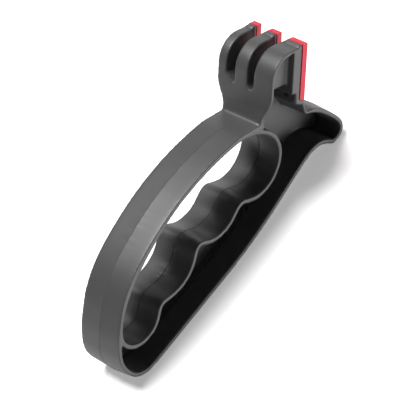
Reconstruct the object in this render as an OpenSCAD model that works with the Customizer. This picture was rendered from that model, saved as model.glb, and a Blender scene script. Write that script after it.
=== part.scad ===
// Hand-held pull-through knife sharpener with a knuckle guard.
// X runs from the tail to the toe, Y from the open side to the far side, Z up.
// The origin lies on the ground below the middle of the bounding box.

/* [Handle] */
// Overall length from tail to toe
handle_l = 141; // [120:1:165]
// Width of the moulded handle
handle_w = 20; // [18:0.5:24]
// Height of the knuckle guard above the ground
arch_h = 54.6; // [50:0.2:62]
// Thickness of the rim walls
wall_t = 1.9; // [1.4:0.1:2.4]
// Thickness of the web that joins the rim walls
web_t = 2; // [1.5:0.1:3]
// Distance of the web's middle from the handle's middle plane
web_y = 4.1; // [0:0.1:5]

/* [Head] */
// Width of the head
head_w = 28; // [27:0.5:34]
// Depth of the head from its front face to its rear face
head_d = 17.4; // [16:0.2:22]
// Backward lean of the head's rear face from upright
head_tilt = 30; // [26:1:34]
// Distance of the head's rear top edge past the notch behind the plate
head_reach = 7.8; // [5.3:0.1:10.3]
// Height of the head's rear top edge
head_z = 61.6; // [60:0.2:66]
// Radius that rounds the front face into the top
head_round = 10; // [7:0.5:11]
// Height above the guard at which the head begins to widen
neck_h = 0.5; // [0.3:0.1:2]
// Height over which the head widens
flare_h = 12; // [9:0.5:15]
// Thickness of the front wall
front_t = 1.6; // [1.3:0.1:3]
// Thickness of the rear wall where it seats the inserts
rear_t = 4.8; // [4.4:0.1:6]
// Thickness of the rear wall below the inserts
foot_t = 2.3; // [2.3:0.1:4]
// Thickness of the shelf below the face plate
shelf_t = 2.3; // [1.5:0.1:3]
// Thickness of the wall between the shelf and the toe
lip_t = 1; // [0.8:0.1:1.6]

/* [Slots] */
// Width of the coarse slot, on the far side
coarse_w = 4.5; // [3.5:0.1:4.8]
// Place of the coarse slot's middle
coarse_y = 7.55; // [7.4:0.05:8]
// Width of the fine slot, on the open side
fine_w = 4; // [3.2:0.1:4.4]
// Place of the fine slot's middle
fine_y = -2.65; // [-3:0.05:-2.5]
// Narrowing of the fine slot's foot on each side
fine_draft = 0.4; // [0:0.1:0.6]
// Depth of the slots below the head's top
slot_h = 17.5; // [15:0.5:18]
// Height of the bevel at the foot of the coarse slot
coarse_bevel = 4.1; // [2:0.1:5]
// Height of the notch at the foot of the fine slot
fine_bevel = 2.1; // [1:0.1:4]
// Thickness of the skin beside and below the slots
slot_skin = 1.5; // [1.2:0.1:2]

/* [Side pocket] */
// Depth of the shallow recess in the head's open side
recess_t = 3.2; // [2:0.1:4]
// Depth of the recess's lower edge below the head's top
recess_h = 15.7; // [12:0.1:16.5]
// Depth of the pocket's roof below the head's top
roof_h = 19.5; // [19:0.1:21]

/* [Face plate] */
// Thickness of the face plate
plate_t = 2.7; // [2.2:0.1:3.2]
// Amount by which the plate stands out beside the head
plate_proud = 0.2; // [0:0.1:0.8]
// Thickness of the rear wall's raised teeth
tooth_t = 2; // [1.8:0.1:4]
// Amount by which the teeth stand above the rest of the head
tooth_h = 0.9; // [0.2:0.1:3]
// Radius of the far tooth's top corner on its far side
far_round = 1.6; // [0.5:0.1:2.4]
// Radius of the middle tooth's top corner on its far side
middle_round = 2.6; // [0.5:0.1:3]
// Radius of the near tooth's top corner on its far side
near_round = 3.4; // [0.5:0.1:4]
// Depth of the plate's lower edge below the head's top
plate_low = 24; // [23:0.2:25]
// Rise of the plate's lower edge from its outer to its inner face
plate_slant = 1; // [0:0.1:1.5]
// Amount by which the teeth narrow each slot on each side
tooth_in = 0.3; // [0.1:0.1:0.8]
// Thickness of the rear wall where the slots are as narrow as the plate's
slot_end_t = 1.7; // [1:0.1:3.5]

/* [Inserts] */
// Thickness of a blade, and diameter of a rod
insert_t = 1.9; // [1.5:0.05:1.9]
// Width of a carbide blade
blade_w = 2.4; // [1.8:0.1:2.6]
// Depth of the crossing below the head's top
cross_h = 12; // [11:0.1:12.5]
// Lean of each insert from the middle of its slot
vee_angle = 20; // [15:1:22]
// Length of an insert above the crossing
insert_up = 6.5; // [5:0.1:7]
// Length of an insert below the crossing
insert_down = 6; // [4:0.1:6.4]

/* [Screws] */
// Diameter of the screw shank
screw_d = 2.2; // [1.8:0.1:2.6]
// Diameter of the screw head
screw_head_d = 4.2; // [3.6:0.1:5]
// Height of the countersunk head
screw_head_h = 1.3; // [1:0.1:1.6]
// Depth of the screw in the rear wall
screw_bite = 2.2; // [1.5:0.1:2.3]
// Distance of each screw from the middle plane
screw_y = 9; // [8.5:0.1:10]
// Depth of the screws below the head's top
screw_h = 21.4; // [21.2:0.1:21.8]

/* [Hidden] */
$fn = 48;

// Length by which a cut runs past the face that it opens
overrun = 1;
// Length by which the teeth's rounded corners run on past the teeth
corner_run = 0.4;
// Distance by which a rounding passes the faces that it joins, so that it meets them at edges
ease = 0.05;
// Clearance around a seated insert and around a screw in the plate
fit_gap = 0.1;
// Steps between two points of a smooth curve, and steps of a quarter turn
curve_steps = 4;
round_steps = 10;

// Half width of the head, and places of the web's two faces
half_head = head_w / 2;
half_handle = handle_w / 2;
web_near = web_y - web_t / 2;
web_far = web_y + web_t / 2;
front_in = front_t - head_d;
skin_y = fine_y - fine_w / 2 - slot_skin;
panel_y = recess_t - half_head;
insert_floor = -2 * insert_t - 2 * fit_gap;

// Outline of the toe, waist and ground edge, from the notch behind the plate
toe_shares = [
    [0.902, 0.503], [0.911, 0.491], [0.927, 0.467], [0.951, 0.394], [0.970, 0.311],
    [0.985, 0.229], [0.996, 0.156], [1.000, 0.099], [0.996, 0.046], [0.981, 0.011],
    [0.960, 0.000], [0.939, 0.011], [0.920, 0.066], [0.897, 0.115], [0.867, 0.139],
    [0.832, 0.136], [0.789, 0.117], [0.740, 0.092], [0.683, 0.062], [0.626, 0.037],
    [0.570, 0.018], [0.520, 0.006], [0.477, 0.000]
];
// Outline of the tail and the guard, up to the foot of the head
back_shares = [
    [0.101, 0.000], [0.073, 0.006], [0.048, 0.031], [0.026, 0.075], [0.011, 0.141],
    [0.002, 0.220], [0.000, 0.278], [0.003, 0.348], [0.013, 0.421], [0.030, 0.513],
    [0.055, 0.606], [0.084, 0.700], [0.124, 0.789], [0.175, 0.864], [0.243, 0.925],
    [0.321, 0.971], [0.392, 0.995], [0.456, 1.000], [0.527, 0.991], [0.598, 0.962],
    [0.662, 0.923], [0.704, 0.875], [0.740, 0.832]
];
// Outline of the finger loop, over the guard and back along the four scallops
loop_shares = [
    [0.055, 0.531], [0.076, 0.619], [0.113, 0.711], [0.162, 0.791], [0.229, 0.864],
    [0.307, 0.923], [0.385, 0.958], [0.456, 0.963], [0.527, 0.952], [0.605, 0.919],
    [0.669, 0.872], [0.715, 0.795], [0.744, 0.712], [0.762, 0.623], [0.767, 0.538],
    [0.760, 0.451], [0.737, 0.374], [0.704, 0.324], [0.669, 0.313], [0.635, 0.333],
    [0.606, 0.381], [0.588, 0.418], [0.568, 0.430], [0.545, 0.412], [0.520, 0.386],
    [0.490, 0.379], [0.457, 0.396], [0.432, 0.434], [0.411, 0.484], [0.393, 0.500],
    [0.374, 0.482], [0.352, 0.427], [0.326, 0.383], [0.293, 0.363], [0.257, 0.370],
    [0.226, 0.394], [0.208, 0.405], [0.189, 0.386], [0.170, 0.335], [0.147, 0.295],
    [0.120, 0.284], [0.091, 0.300], [0.067, 0.342], [0.052, 0.405], [0.048, 0.469]
];
// Level of the front wall's lower bend, as a share of the roof's depth
front_bend_share = 1.21;

// A share point as a place in the middle plane
function placed(shares) = [for (s = shares) [(s[0] - 0.5) * handle_l, s[1] * arch_h]];

// A place in the middle plane from a distance behind the rear face and above the top
function at_head(back, up) = [
    head_x + back * cos(head_tilt) + up * sin(head_tilt),
    head_z - back * sin(head_tilt) + up * cos(head_tilt)
];

// Heights of the slanting lower faces of the plate and of the shelf, at a distance behind the rear face
function plate_foot(back) = plate_slant * (1 - back / plate_t) - plate_low;
function shelf_foot(back) = plate_foot(back) - shelf_t;

// Slope of a smooth curve at one of its points, for an open or a closed curve
function slope(p, i, closed) =
    let (n = len(p))
    let (before = closed ? p[(i + n - 1) % n] : p[max(i - 1, 0)])
    let (after = closed ? p[(i + 1) % n] : p[min(i + 1, n - 1)])
    let (reach = norm(after - p[i]) + norm(p[i] - before))
    (after - before) / reach;

// A point of the smooth curve between two neighbouring points
function between(p, i, t, closed) =
    let (a = p[i])
    let (b = p[(i + 1) % len(p)])
    let (h = norm(b - a))
    let (start = h * slope(p, i, closed))
    let (end = h * slope(p, (i + 1) % len(p), closed))
    (2 * t * t * t - 3 * t * t + 1) * a + (t * t * t - 2 * t * t + t) * start
    + (3 * t * t - 2 * t * t * t) * b + (t * t * t - t * t) * end;

// The smooth curve through a row of points
function smooth(p, closed = false) = concat(
    [for (i = [0:len(p) - (closed ? 1 : 2)]) for (k = [0:curve_steps - 1])
        between(p, i, k / curve_steps, closed)],
    closed ? [] : [p[len(p) - 1]]
);

// A row of points moved to the right of its own direction
function shifted(p, d, closed = false) = [for (i = [0:len(p) - 1])
    let (s = slope(p, i, closed))
    p[i] + d * [s[1], -s[0]] / norm(s)
];

toe = smooth(placed(toe_shares));
back = smooth(placed(back_shares));
outline = concat(toe, back);
finger_loop = smooth(placed(loop_shares), true);
notch = toe[0];
head_x = notch[0] + head_reach;
junction = back[len(back) - 1];
toe_in = shifted(toe, wall_t);
back_in = shifted(back, wall_t);
// The notch as seen inside, and the inner faces of the toe and the guard
ridge = notch - [lip_t, lip_t / 2];
rim_in = concat([for (i = [2 * curve_steps:len(toe_in) - 1]) toe_in[i]], back_in, [ridge]);

// Lean of the line from the junction to the notch, on which the head stands
neck_tilt = atan2(junction[1] - notch[1], notch[0] - junction[0]);

// Rounded corner from the front face to the top of the head, moved inwards
function head_corner(inset) = [for (k = [0:round_steps])
    let (turn = 180 - 90 * k / round_steps)
    let (r = head_round - inset)
    at_head(head_round - head_d + r * cos(turn), r * sin(turn) - head_round)
];

// Half width of the head at a share of the flare's height
function flare_half(t) = half_handle + (half_head + ease - half_handle) * (1 - cos(180 * t)) / 2;

// Sweeps a drawing of the middle plane across the width
module across(from, to) {
    translate([0, to, 0]) rotate([90, 0, 0]) linear_extrude(to - from) children();
}

// Sweeps a drawing of the head's face along the slots
module along(from, to) {
    translate([from, 0, 0]) rotate([90, 0, 90]) linear_extrude(to - from) children();
}

// Places what follows on the head's rear top edge
module in_head() {
    translate([head_x, 0, head_z]) rotate([0, head_tilt, 0]) children();
}

// The coarse slot, narrowed by an inset, with one bevelled foot
module coarse_face(inset) {
    half = coarse_w / 2 - inset;
    floor_h = slot_h - inset;
    polygon([
        [coarse_y - half, tooth_h + overrun], [coarse_y + half, tooth_h + overrun],
        [coarse_y + half, coarse_bevel - floor_h], [coarse_y - half, -floor_h]
    ]);
}

// The fine slot, narrowed by an inset, with a pointed foot
module fine_face(inset) {
    half = fine_w / 2 - inset;
    foot = half - fine_draft;
    floor_h = slot_h - inset;
    polygon([
        [fine_y - half, tooth_h + overrun], [fine_y + half, tooth_h + overrun],
        [fine_y + foot, fine_bevel - floor_h], [fine_y, -floor_h], [fine_y - foot, fine_bevel - floor_h]
    ]);
}

// Both slots, narrowed by an inset
module slot_faces(inset) {
    coarse_face(inset);
    fine_face(inset);
}

// Cuts the rounded top corner on a tooth's far side
module tooth_corner(y, radius) {
    translate([y - radius + ease, tooth_h - radius + ease]) difference() {
        square(radius + overrun / 2);
        circle(radius);
    }
}

// Cuts the far top corner of all three teeth, for a half width
module tooth_corners(half) {
    tooth_corner(half, far_round);
    tooth_corner(coarse_y - coarse_w / 2 + tooth_in, middle_round);
    tooth_corner(fine_y - fine_w / 2 + tooth_in, near_round);
}

// The rear face with its three teeth, for a half width
module tooth_face(half) {
    difference() {
        translate([-half, -plate_low - overrun]) square([2 * half, plate_low + overrun + tooth_h]);
        slot_faces(tooth_in);
        tooth_corners(half);
    }
}

// Puts an insert's own outline where it leans to one side of its slot
module leaning(y, side) {
    translate([y, -cross_h]) rotate(-side * vee_angle) children();
}

// Outline of a carbide blade whose cutting edge lies on the leaning line
module blade_face(side, gap) {
    across_w = blade_w + 2 * gap;
    translate([(side > 0 ? 0 : -blade_w) - gap, -insert_down - gap])
        square([across_w, insert_up + insert_down + 2 * gap]);
}

// Outline of the seat of a ceramic rod
module rod_face(side, gap) {
    across_w = insert_t + 2 * gap;
    translate([(side > 0 ? 0 : -insert_t) - gap, -insert_down - gap])
        square([across_w, insert_up + insert_down + 2 * gap]);
}

// Outline of the head and the neck, down into the guard
module head_profile() {
    polygon(concat(
        head_corner(0),
        [at_head(-tooth_t, 0), at_head(-tooth_t, tooth_h), at_head(0, tooth_h), at_head(0, plate_foot(0))],
        [at_head(plate_t, -plate_low), at_head(plate_t, -plate_low - lip_t), notch],
        [[junction[0], notch[1]], junction, at_head(-head_d, -front_bend_share * roof_h)]
    ));
}

// Outline of the pocket in the neck below the slots
module neck_pocket() {
    polygon([
        ridge - [wall_t, 3 * wall_t],
        ridge,
        at_head(plate_t - lip_t / 3, shelf_foot(plate_t - lip_t / 3)),
        at_head(-foot_t, shelf_foot(-foot_t)),
        at_head(-foot_t, -roof_h),
        at_head(front_in, -roof_h),
        at_head(front_in, -front_bend_share * roof_h),
        junction + [wall_t, -wall_t],
        junction + [wall_t, -3 * wall_t]
    ]);
}

// Outline of everything inside the rim walls, less the finger loop's own wall
module pocket_profile() {
    difference() {
        union() {
            polygon(rim_in);
            neck_pocket();
        }
        polygon(shifted(finger_loop, -wall_t, true));
    }
}

// Outline of the recess in the open side of the head, down into the neck's pocket
module recess_profile() {
    polygon(concat(
        head_corner(front_t),
        [at_head(-rear_t, -0.5 * front_t), at_head(-rear_t, -roof_h), at_head(-foot_t, -roof_h)],
        [at_head(-foot_t, -roof_h - overrun), at_head(front_in, -roof_h - overrun)]
    ));
}

// Outline of the panel that makes the upper part of the recess shallow
module panel_profile() {
    polygon([
        at_head(-head_d, -recess_h), at_head(0, -recess_h),
        at_head(0, head_round), at_head(-head_d, head_round)
    ]);
}

// Outline of the hollow in the prong beside the fine slot
module prong_profile() {
    polygon(concat(
        head_corner(2 * front_t),
        [at_head(-rear_t - slot_skin, -2 * front_t), at_head(-rear_t - slot_skin, -roof_h - overrun)],
        [at_head(2 * front_t - head_d, -roof_h - overrun)]
    ));
}

// Face of the rear wall, at full width down to its shelf and narrowing to the notch
module wall_face() {
    shelf = -plate_low - lip_t - neck_h;
    low = (notch[0] - head_x) * sin(head_tilt) + (notch[1] - head_z) * cos(head_tilt) + neck_h;
    rise = (shelf - low) / (half_head - half_handle);
    wide = half_head + overrun;
    polygon([
        [wide, head_z], [wide, shelf + overrun * rise], [half_handle, low],
        [-half_handle, low], [-wide, shelf + overrun * rise], [-wide, head_z]
    ]);
}

// The head's solid, widening upwards from the guard's width
module head_solid() {
    long = head_d + handle_w + head_w;
    steps = round_steps;
    top = neck_h + flare_h + overrun;
    wide = half_head + overrun;
    right = [for (k = [0:steps]) [flare_half(k / steps), neck_h + flare_h * k / steps]];
    left = [for (k = [steps:-1:0]) [-flare_half(k / steps), neck_h + flare_h * k / steps]];
    intersection() {
        across(-half_head, half_head) head_profile();
        union() {
            translate([junction[0], 0, junction[1]]) rotate([0, neck_tilt, 0]) along(-long, long)
                polygon(concat(
                    [[half_handle, -head_z]], right, [[wide, top], [wide, head_z]],
                    [[-wide, head_z], [-wide, top]], left, [[-half_handle, -head_z]]
                ));
            in_head() along(-tooth_t, long) wall_face();
        }
    }
}

// The pockets of the open side, the recess in the head and the hollow prong
module open_side() {
    far_reach = half_head + overrun;
    across(-far_reach, web_near) pocket_profile();
    difference() {
        across(-far_reach, skin_y) recess_profile();
        across(panel_y, skin_y + overrun) panel_profile();
    }
    across(panel_y + slot_skin, skin_y) prong_profile();
}

// Seats for the inserts, cut into the rear face
module insert_seats() {
    along(insert_floor, overrun) for (side = [-1, 1]) {
        leaning(coarse_y, side) blade_face(side, fit_gap);
        leaning(fine_y, side) rod_face(side, fit_gap);
    }
}

// A place on the rear face for each screw
module at_screws() {
    for (side = [-1, 1]) translate([0, side * screw_y, -screw_h]) rotate([0, 90, 0]) children();
}

// The moulded body: guard, finger grip, toe and head in one piece
module handle() {
    color("#3c3c3e") difference() {
        union() {
            across(-half_handle, half_handle) polygon(outline);
            head_solid();
        }
        across(-half_head, half_head) polygon(finger_loop);
        open_side();
        across(web_far, half_head + overrun) pocket_profile();
        in_head() {
            along(-head_d - overrun, -slot_end_t) slot_faces(0);
            along(-tooth_t - overrun, overrun) slot_faces(tooth_in);
            along(-tooth_t - corner_run, overrun) tooth_corners(half_head);
            insert_seats();
            at_screws() translate([0, 0, -screw_bite]) cylinder(d = screw_d, h = screw_bite + overrun);
        }
    }
}

// The coloured plate on the rear face that keeps the inserts in
module face_plate() {
    half = half_head + plate_proud;
    past = plate_t + overrun;
    color("#e0213d") difference() {
        in_head() along(0, plate_t) tooth_face(half);
        across(-half - overrun, half + overrun) polygon([
            at_head(-overrun, plate_foot(-overrun)), at_head(past, plate_foot(past)),
            at_head(past, -plate_low - 3 * overrun), at_head(-overrun, -plate_low - 3 * overrun)
        ]);
        in_head() at_screws() translate([0, 0, -overrun])
            cylinder(d = screw_d + 2 * fit_gap, h = plate_t + 2 * overrun);
        in_head() at_screws() translate([0, 0, plate_t - screw_head_h])
            cylinder(d1 = screw_d + 2 * fit_gap, d2 = screw_head_d + 2 * fit_gap, h = screw_head_h);
    }
}

// Depth of an insert's lower face, for the inner and the outer layer
function layer_x(side) = insert_floor + (side > 0 ? insert_t : 0);

// A flat carbide blade that leans to one side
module coarse_blade(side) {
    color("#6f7378") in_head()
        along(layer_x(side), layer_x(side) + insert_t) leaning(coarse_y, side) blade_face(side, 0);
}

// A round ceramic rod that leans to one side
module fine_rod(side) {
    color("#f2efe6") in_head()
        translate([layer_x(side) + insert_t / 2, fine_y, -cross_h]) rotate([-side * vee_angle, 0, 0])
            translate([0, side * insert_t / 2, -insert_down])
                cylinder(d = insert_t, h = insert_up + insert_down);
}

module coarse_blade_left() {
    coarse_blade(-1);
}

module coarse_blade_right() {
    coarse_blade(1);
}

module fine_rod_left() {
    fine_rod(-1);
}

module fine_rod_right() {
    fine_rod(1);
}

// The two countersunk screws that hold the plate
module plate_screws() {
    drive_w = screw_head_d / 7;
    drive_l = screw_head_d * 0.6;
    color("#b9bcc0") in_head() at_screws() difference() {
        union() {
            translate([0, 0, -screw_bite]) cylinder(d = screw_d, h = screw_bite + plate_t);
            translate([0, 0, plate_t - screw_head_h])
                cylinder(d1 = screw_d, d2 = screw_head_d, h = screw_head_h);
        }
        for (turn = [0, 90]) rotate([0, 0, turn])
            translate([-drive_l / 2, -drive_w / 2, plate_t - screw_head_h / 2])
                cube([drive_l, drive_w, screw_head_h]);
    }
}

handle();
face_plate();
coarse_blade_left();
coarse_blade_right();
fine_rod_left();
fine_rod_right();
plate_screws();
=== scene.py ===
# Dressed model of a hand-held pull-through knife sharpener, framed and lit like the photograph
from math import ceil, radians

import bmesh
import bpy
import numpy as np
from mathutils import Euler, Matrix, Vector
from mathutils.bvhtree import BVHTree
from mathutils.kdtree import KDTree

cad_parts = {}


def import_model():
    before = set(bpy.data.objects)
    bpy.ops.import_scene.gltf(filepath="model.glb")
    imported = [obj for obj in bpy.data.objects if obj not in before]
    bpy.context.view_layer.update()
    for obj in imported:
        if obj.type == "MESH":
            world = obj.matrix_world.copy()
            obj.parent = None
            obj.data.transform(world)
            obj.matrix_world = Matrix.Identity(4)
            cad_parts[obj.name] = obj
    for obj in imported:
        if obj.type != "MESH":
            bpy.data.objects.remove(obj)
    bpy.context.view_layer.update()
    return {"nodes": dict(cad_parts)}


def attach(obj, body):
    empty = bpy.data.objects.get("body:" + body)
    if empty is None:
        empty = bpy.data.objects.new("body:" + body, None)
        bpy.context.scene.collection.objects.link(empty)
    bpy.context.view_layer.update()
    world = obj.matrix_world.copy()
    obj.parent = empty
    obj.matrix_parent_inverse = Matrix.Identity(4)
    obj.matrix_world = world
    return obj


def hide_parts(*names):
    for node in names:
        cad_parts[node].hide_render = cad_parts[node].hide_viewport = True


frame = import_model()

MM = 0.001

# The photograph's camera: place in metres, angles in degrees, lens and sensor in millimetres
CAMERA_AT = (-0.491786, -0.817983, 1.104961)
CAMERA_TURN = (38.3984, 17.1068, -51.4821)
CAMERA_LENS = 318.55
CAMERA_SENSOR = 36
CAMERA_END = 20

# The moulding's mesh: width of its first faces, share of them kept, distance at which points merge
VOXEL = 0.4 * MM
KEPT_FACES = 0.3
MERGE = 2e-6

# The moulding's edges: those above this angle are rounded within the reach, and from a share
# of the reach outwards the surface goes back onto the solid, to be evened out afterwards
EDGE_ANGLE = radians(25)
EDGE_STEP = 0.3 * MM
ROUND_REACH = 0.8 * MM
ROUND_START = 0.6
ROUND_END = 1.6
ROUND_SHARE = 0.6
ROUND_TURNS = 5
BLUR_TURNS = 30

# Points of the side profile, as x and z: the guard's tail, the junction where the head stands on
# the guard, and the notch below the plate
TAIL = (-70 * MM, 8 * MM)
JUNCTION = (33.84 * MM, 45.43 * MM)
NOTCH = (56.68 * MM, 27.46 * MM)

# The draft, largest at the parting line and nothing at half the guard's width. It is deeper in
# the loop, and fades out towards the line from junction to notch and towards the ground
HALF_WIDTH = 10 * MM
DRAFT = 0.5 * MM
LOOP_DRAFT = 1 * MM
LOOP_BLEND = 5 * MM
DRAFT_FADE = 3 * MM

# The parting line: a fine flash ridge on the guard above a height, a fine groove on the guard
# below it, and a deeper groove below the line from the tail to the junction, as in the loop
RIDGE_HIGH = 0.14 * MM
RIDGE_FOOT = 24 * MM
GROOVE_DEEP = 0.22 * MM
LOOP_DEEP = 0.6 * MM
SEAM_HALF = 0.2 * MM
SEAM_NEAR = 2 * MERGE

# The wider fillet between guard and head: whole up to half its reach
FILLET_REACH = 2 * MM
FILLET_TURNS = 30

# Sharp edges and their small bevels on the other pieces
SHARP_ANGLE = radians(32)
BEVEL_SEGMENTS = 3
PLATE_BEVEL = 0.35 * MM
BLADE_BEVEL = 0.05 * MM
ROD_BEVEL = 0.15 * MM
SCREW_BEVEL = 0.08 * MM

# Plastic: size and detail of its tone changes, detail and strength of its grain
CLOUD_SCALE = 90
CLOUD_DETAIL = 4
GRAIN_DETAIL = 3
GRAIN_STRENGTH = 0.25

# Ground metal: size, detail, strength and depth of its scratches
SCRATCH_SCALE = 900
SCRATCH_DETAIL = 3
SCRATCH_STRENGTH = 0.3
SCRATCH_DEEP = 0.02 * MM

NOISE_ROUGHNESS = 0.55

# Sockets of Blender's Mix node when it mixes colours
MIX_FACTOR = 0
MIX_FIRST = 6
MIX_SECOND = 7
MIX_RESULT = 2

# Studio light: each lamp's height and turn around Z in degrees, and its strength. The lamps
# above are the softboxes; the lamps below are the white table, which lights the object from beneath
LAMP_ANGLE = 22
LAMPS = (
    (78, 90, 2.83), (62, 45, 0.41), (62, 0, 0.05), (28, 30, 0.07), (12, 30, 0.155),
    (-22, 300, 0.675), (-22, 270, 0.44), (-22, 30, 0.35), (-22, 150, 0.15),
    (-45, 315, 0.24), (-45, 135, 0.065),
)

# The floor: half its width, its colour to the light, and its colour and glow to the camera
FLOOR_HALF = 6
FLOOR_PALE = 0.94
FLOOR_SEEN = 1.38
FLOOR_GLOW = 0.35

# The white surroundings' strength in reflections
WORLD_GLOSS = 0.12


# Small helpers


def link(mesh, name):
    """A new object in the scene that shows a mesh."""
    made = bpy.data.objects.new(name, mesh)
    bpy.context.scene.collection.objects.link(made)
    return made


def add_bevel(piece, width):
    """Rounds the sharp edges of a piece."""
    bevel = piece.modifiers.new("edge_round", "BEVEL")
    bevel.width = width
    bevel.segments = BEVEL_SEGMENTS
    bevel.limit_method = "ANGLE"
    bevel.angle_limit = SHARP_ANGLE


def smooth_faces(mesh):
    """Smooth shading with hard edges above an angle."""
    mesh.polygons.foreach_set("use_smooth", [True] * len(mesh.polygons))
    mesh.set_sharp_from_angle(angle=SHARP_ANGLE)


# Materials


def new_material(name):
    """An empty node material, its nodes, its links and its shader."""
    material = bpy.data.materials.new(name)
    material.use_nodes = True
    nodes, links = material.node_tree.nodes, material.node_tree.links
    return material, nodes, links, nodes["Principled BSDF"]


def noise(nodes, links, scale, detail):
    """A noise texture in the object's own coordinates."""
    coords = nodes.new("ShaderNodeTexCoord")
    texture = nodes.new("ShaderNodeTexNoise")
    texture.inputs["Scale"].default_value = scale
    texture.inputs["Detail"].default_value = detail
    texture.inputs["Roughness"].default_value = NOISE_ROUGHNESS
    links.new(coords.outputs["Object"], texture.inputs["Vector"])
    return texture


def spread(nodes, links, value, low, high):
    """Maps a 0 to 1 value onto a range."""
    ranged = nodes.new("ShaderNodeMapRange")
    ranged.inputs["To Min"].default_value = low
    ranged.inputs["To Max"].default_value = high
    links.new(value, ranged.inputs["Value"])
    return ranged.outputs["Result"]


def tint(nodes, links, value, dark, light):
    """Mixes two colours by a 0 to 1 value."""
    mixed = nodes.new("ShaderNodeMix")
    mixed.data_type = "RGBA"
    mixed.inputs[MIX_FIRST].default_value = (*dark, 1)
    mixed.inputs[MIX_SECOND].default_value = (*light, 1)
    links.new(value, mixed.inputs[MIX_FACTOR])
    return mixed.outputs[MIX_RESULT]


def bump(nodes, links, shader, height, strength, distance):
    """Feeds a height into the shader's normal."""
    bumped = nodes.new("ShaderNodeBump")
    bumped.inputs["Strength"].default_value = strength
    bumped.inputs["Distance"].default_value = distance
    links.new(height, bumped.inputs["Height"])
    links.new(bumped.outputs["Normal"], shader.inputs["Normal"])


def moulded(name, dark, light, rough, grain, depth, shine):
    """A moulded material with uneven gloss, slight tone changes and a fine grain."""
    material, nodes, links, shader = new_material(name)
    shader.inputs["Specular IOR Level"].default_value = shine
    cloud = noise(nodes, links, CLOUD_SCALE, CLOUD_DETAIL)
    fine = noise(nodes, links, grain, GRAIN_DETAIL)
    links.new(tint(nodes, links, cloud.outputs["Fac"], dark, light), shader.inputs["Base Color"])
    links.new(spread(nodes, links, cloud.outputs["Fac"], *rough), shader.inputs["Roughness"])
    bump(nodes, links, shader, fine.outputs["Fac"], GRAIN_STRENGTH, depth)
    return material


def ground_metal(name, dark, light, rough, stretch):
    """Ground metal with fine parallel scratches."""
    material, nodes, links, shader = new_material(name)
    coords = nodes.new("ShaderNodeTexCoord")
    mapping = nodes.new("ShaderNodeMapping")
    mapping.inputs["Scale"].default_value = stretch
    lines = nodes.new("ShaderNodeTexNoise")
    lines.inputs["Scale"].default_value = SCRATCH_SCALE
    lines.inputs["Detail"].default_value = SCRATCH_DETAIL
    links.new(coords.outputs["Object"], mapping.inputs["Vector"])
    links.new(mapping.outputs["Vector"], lines.inputs["Vector"])
    shader.inputs["Metallic"].default_value = 1
    links.new(tint(nodes, links, lines.outputs["Fac"], dark, light), shader.inputs["Base Color"])
    links.new(spread(nodes, links, lines.outputs["Fac"], *rough), shader.inputs["Roughness"])
    bump(nodes, links, shader, lines.outputs["Fac"], SCRATCH_STRENGTH, SCRATCH_DEEP)
    return material


body_plastic = moulded(
    "body_plastic", dark=(0.074, 0.074, 0.075), light=(0.088, 0.088, 0.089), rough=(0.40, 0.50),
    grain=2600, depth=0.03 * MM, shine=0.74)
plate_plastic = moulded(
    "plate_plastic", dark=(0.84, 0.022, 0.058), light=(0.90, 0.026, 0.066), rough=(0.30, 0.40),
    grain=2000, depth=0.01 * MM, shine=0.3)
ceramic = moulded(
    "ceramic", dark=(0.84, 0.82, 0.75), light=(0.90, 0.88, 0.82), rough=(0.42, 0.55),
    grain=3000, depth=0.01 * MM, shine=0.5)
carbide = ground_metal(
    "carbide", dark=(0.20, 0.20, 0.21), light=(0.32, 0.32, 0.33), rough=(0.22, 0.38),
    stretch=(1, 12, 1))
screw_steel = ground_metal(
    "screw_steel", dark=(0.07, 0.07, 0.075), light=(0.12, 0.12, 0.125), rough=(0.30, 0.42),
    stretch=(1, 1, 6))


# The moulding


def clean_solid(node):
    """A node's solid without doubled vertices, as a working mesh."""
    bm = bmesh.new()
    bm.from_mesh(frame["nodes"][node].data)
    bmesh.ops.remove_doubles(bm, verts=bm.verts, dist=MERGE)
    bmesh.ops.dissolve_degenerate(bm, dist=MERGE, edges=bm.edges)
    return bm


def edge_points(bm):
    """Points along a solid's sharp edges, ready for searching."""
    points = []
    for edge in bm.edges:
        if len(edge.link_faces) == 2 and edge.calc_face_angle(0) > EDGE_ANGLE:
            start, end = (vert.co.copy() for vert in edge.verts)
            steps = max(1, ceil((end - start).length / EDGE_STEP))
            points += [start.lerp(end, k / steps) for k in range(steps + 1)]
    tree = KDTree(len(points))
    for index, point in enumerate(points):
        tree.insert(point, index)
    tree.balance()
    return tree


def applied(piece):
    """The mesh that a piece shows through its modifiers; the piece itself goes."""
    graph = bpy.context.evaluated_depsgraph_get()
    mesh = bpy.data.meshes.new_from_object(piece.evaluated_get(graph))
    bpy.data.objects.remove(piece)
    return mesh


def remeshed(bm):
    """A solid's surface in fine, even faces."""
    mesh = bpy.data.meshes.new("fine")
    bm.to_mesh(mesh)
    piece = link(mesh, "fine")
    grid = piece.modifiers.new("grid", "REMESH")
    grid.mode = "VOXEL"
    grid.voxel_size = VOXEL
    return applied(piece)


def relaxed(places, pairs, weight, turns):
    """Places drawn towards their neighbours' middle, by a weight each, a few times over."""
    count = len(places)
    ends, starts = pairs[:, 0], pairs[:, 1]
    links = np.bincount(pairs.ravel(), minlength=count)
    for _ in range(turns):
        total = np.stack([
            np.bincount(ends, places[starts, k], count) + np.bincount(starts, places[ends, k], count)
            for k in range(3)], 1)
        places = places + weight[:, None] * (total / links[:, None] - places)
    return places


def below_line(places, start, end):
    """How far each place lies below the line between two points of the side profile."""
    x, _, z = places.T
    along = np.subtract(end, start)
    return (along[1] * (x - start[0]) - along[0] * (z - start[1])) / np.hypot(*along)


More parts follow.
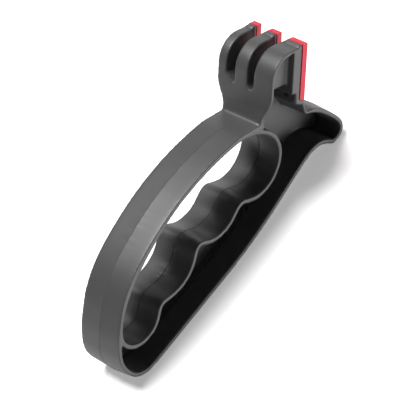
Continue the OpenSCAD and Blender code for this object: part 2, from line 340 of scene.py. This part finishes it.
def draft_share(places):
    """Share of the draft that each place gets, most at the parting line."""
    share = np.clip(1 - np.abs(places[:, 1]) / HALF_WIDTH, 0, 1)
    below_head = np.clip(below_line(places, JUNCTION, NOTCH) / DRAFT_FADE, 0, 1)
    return share * below_head * np.clip(places[:, 2] / DRAFT_FADE, 0, 1)


def draft_depth(places):
    """How far the draft stands out at each place: more in the loop than on guard and toe."""
    loop = np.clip(below_line(places, TAIL, JUNCTION) / LOOP_BLEND, 0, 1)
    loop = loop * np.clip((JUNCTION[0] - places[:, 0]) / LOOP_BLEND, 0, 1)
    return (DRAFT + (LOOP_DRAFT - DRAFT) * loop) * draft_share(places)


def seam_height(places):
    """How far the parting line stands out at each place: less than nothing in the grooves."""
    guard = np.where(places[:, 2] > RIDGE_FOOT, RIDGE_HIGH, -GROOVE_DEEP)
    above = below_line(places, TAIL, JUNCTION) < 0
    return np.where(above, guard, -LOOP_DEEP) * draft_share(places)


def on_seam(edge):
    """Whether an edge runs along the parting plane."""
    return max(abs(end.co.y) for end in edge.verts) < SEAM_NEAR


def add_seam(mesh):
    """Moulds the fine line along the parting plane, with a hard edge."""
    bm = bmesh.new()
    bm.from_mesh(mesh)
    for y in (-SEAM_HALF, 0, SEAM_HALF):
        parts = list(bm.verts) + list(bm.edges) + list(bm.faces)
        bmesh.ops.bisect_plane(bm, geom=parts, dist=MERGE, plane_co=(0, y, 0), plane_no=(0, 1, 0))
    bm.normal_update()
    crest = [vert for vert in bm.verts if abs(vert.co.y) < SEAM_NEAR]
    heights = seam_height(np.array([tuple(vert.co) for vert in crest]))
    outward = [Vector((vert.normal.x, 0, vert.normal.z)).normalized() for vert in crest]
    for vert, way, height in zip(crest, outward, heights):
        vert.co += way * float(height)
    for vert, height in zip(crest, heights):
        if height:
            for edge in filter(on_seam, vert.link_edges):
                edge.smooth = False
    bmesh.ops.triangulate(bm, faces=[face for face in bm.faces if len(face.verts) > 4])
    bm.to_mesh(mesh)
    bm.free()


def mesh_places(mesh):
    """A mesh's points, as rows of three numbers."""
    places = np.empty(3 * len(mesh.vertices), np.float32)
    mesh.vertices.foreach_get("co", places)
    return places.reshape(-1, 3).astype(float)


def mesh_pairs(mesh):
    """A mesh's edges, as pairs of point numbers."""
    pairs = np.empty(2 * len(mesh.edges), np.int32)
    mesh.edges.foreach_get("vertices", pairs)
    return pairs.reshape(-1, 2)


def flat_normals(mesh):
    """The points' normals without their share across the object."""
    normals = np.empty(3 * len(mesh.vertices), np.float32)
    mesh.vertices.foreach_get("normal", normals)
    return normals.reshape(-1, 3) * (1, 0, 1)


def move_to(mesh, places):
    """Moves a mesh's points."""
    mesh.vertices.foreach_set("co", places.astype(np.float32).ravel())
    mesh.update()


def softened(places, pairs, edges, solid):
    """Places with rounded edges, even surfaces on the solid and the fillet under the head."""
    far = np.array([edges.find(place)[2] for place in places.tolist()]) / ROUND_REACH
    near_edge = np.clip(ROUND_END - far, 0, 1)
    places = relaxed(places, pairs, ROUND_SHARE * near_edge, ROUND_TURNS)

    held = np.clip(far - ROUND_START, 0, 1)
    flat = held > 0
    loose = [Vector(place) for place in places[flat].tolist()]
    seats = np.array([tuple(solid.find_nearest(place)[0]) for place in loose])
    places[flat] += held[flat][:, None] * (seats - places[flat])
    places = relaxed(places, pairs, ROUND_SHARE * held, BLUR_TURNS)

    away = np.hypot(places[:, 0] - JUNCTION[0], places[:, 2] - JUNCTION[1])
    inside = np.abs(places[:, 1]) < HALF_WIDTH - SEAM_HALF
    fillet = np.clip(2 - 2 * away / FILLET_REACH, 0, 1) * inside
    return relaxed(places, pairs, ROUND_SHARE * fillet, FILLET_TURNS)


def thinned(mesh):
    """A mesh with a share of its faces."""
    dense = link(mesh, "dense")
    thin = dense.modifiers.new("thin", "DECIMATE")
    thin.ratio = KEPT_FACES
    return applied(dense)


def body_piece():
    """The handle as moulded: soft edges, smooth curves, and a draft from the parting line."""
    bm = clean_solid("handle")
    solid = BVHTree.FromBMesh(bm)
    edges = edge_points(bm)
    mesh = remeshed(bm)
    bm.free()

    places = softened(mesh_places(mesh), mesh_pairs(mesh), edges, solid)
    move_to(mesh, places)
    places += draft_depth(places)[:, None] * flat_normals(mesh)
    move_to(mesh, places)

    mesh = thinned(mesh)
    add_seam(mesh)
    mesh.polygons.foreach_set("use_smooth", [True] * len(mesh.polygons))
    mesh.materials.clear()
    mesh.materials.append(body_plastic)
    piece = link(mesh, "handle_moulding")
    shading = piece.modifiers.new("even_shading", "WEIGHTED_NORMAL")
    shading.keep_sharp = True
    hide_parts("handle")
    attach(piece, "root")


body_piece()

for node, material, radius in (
    ("face_plate", plate_plastic, PLATE_BEVEL),
    ("coarse_blade_left", carbide, BLADE_BEVEL),
    ("coarse_blade_right", carbide, BLADE_BEVEL),
    ("fine_rod_left", ceramic, ROD_BEVEL),
    ("fine_rod_right", ceramic, ROD_BEVEL),
    ("plate_screws", screw_steel, SCREW_BEVEL),
):
    part = frame["nodes"][node]
    part.data.materials.clear()
    part.data.materials.append(material)
    smooth_faces(part.data)
    add_bevel(part, radius)


# Surroundings


def floor():
    """A wide white floor that keeps the shadow and lets the lamps below shine through."""
    bm = bmesh.new()
    bmesh.ops.create_grid(bm, x_segments=1, y_segments=1, size=FLOOR_HALF)
    mesh = bpy.data.meshes.new("floor")
    bm.to_mesh(mesh)
    bm.free()
    piece = link(mesh, "floor")
    piece.visible_shadow = False
    material = bpy.data.materials.new("floor_white")
    material.use_nodes = True
    nodes, links = material.node_tree.nodes, material.node_tree.links
    nodes.clear()
    path = nodes.new("ShaderNodeLightPath")
    felt = nodes.new("ShaderNodeBsdfDiffuse")
    felt.inputs["Color"].default_value = (FLOOR_PALE, FLOOR_PALE, FLOOR_PALE, 1)
    seen = nodes.new("ShaderNodeBsdfDiffuse")
    seen.inputs["Color"].default_value = (FLOOR_SEEN, FLOOR_SEEN, FLOOR_SEEN, 1)
    glow = nodes.new("ShaderNodeEmission")
    glow.inputs["Strength"].default_value = FLOOR_GLOW
    lit = nodes.new("ShaderNodeAddShader")
    mix = nodes.new("ShaderNodeMixShader")
    out = nodes.new("ShaderNodeOutputMaterial")
    links.new(seen.outputs[0], lit.inputs[0])
    links.new(glow.outputs[0], lit.inputs[1])
    links.new(path.outputs["Is Camera Ray"], mix.inputs[0])
    links.new(felt.outputs[0], mix.inputs[1])
    links.new(lit.outputs[0], mix.inputs[2])
    links.new(mix.outputs[0], out.inputs["Surface"])
    mesh.materials.append(material)


def world():
    """White for the camera, dim in reflections and through glass, black for the rest."""
    made = bpy.data.worlds.new("studio")
    bpy.context.scene.world = made
    made.use_nodes = True
    nodes, links = made.node_tree.nodes, made.node_tree.links
    nodes.clear()
    path = nodes.new("ShaderNodeLightPath")
    seen = nodes.new("ShaderNodeBackground")
    seen.inputs["Color"].default_value = (1, 1, 1, 1)
    out = nodes.new("ShaderNodeOutputWorld")
    mirrored = nodes.new("ShaderNodeMath")
    links.new(path.outputs["Is Glossy Ray"], mirrored.inputs[0])
    links.new(path.outputs["Is Transmission Ray"], mirrored.inputs[1])
    shown = nodes.new("ShaderNodeMath")
    shown.operation = "MULTIPLY_ADD"
    shown.inputs[1].default_value = WORLD_GLOSS
    links.new(mirrored.outputs[0], shown.inputs[0])
    links.new(path.outputs["Is Camera Ray"], shown.inputs[2])
    links.new(shown.outputs[0], seen.inputs["Strength"])
    links.new(seen.outputs[0], out.inputs["Surface"])


def soft_lamp(height, turn, strength):
    """A soft even light from a height and a turn around Z."""
    name = "lamp_%d_%d" % (height, turn)
    data = bpy.data.lights.new(name, "SUN")
    data.energy = strength
    data.angle = radians(LAMP_ANGLE)
    lamp = bpy.data.objects.new(name, data)
    lamp.rotation_euler = Euler((radians(90 - height), 0, radians(90 + turn)))
    bpy.context.scene.collection.objects.link(lamp)


def camera():
    """The photograph's camera."""
    data = bpy.data.cameras.new("camera")
    data.lens = CAMERA_LENS
    data.sensor_width = CAMERA_SENSOR
    data.clip_end = CAMERA_END
    made = bpy.data.objects.new("camera", data)
    made.location = CAMERA_AT
    made.rotation_euler = Euler([radians(a) for a in CAMERA_TURN])
    bpy.context.scene.collection.objects.link(made)
    bpy.context.scene.camera = made


floor()
world()
for lamp in LAMPS:
    soft_lamp(*lamp)
camera()
bpy.context.scene.view_settings.view_transform = "Standard"
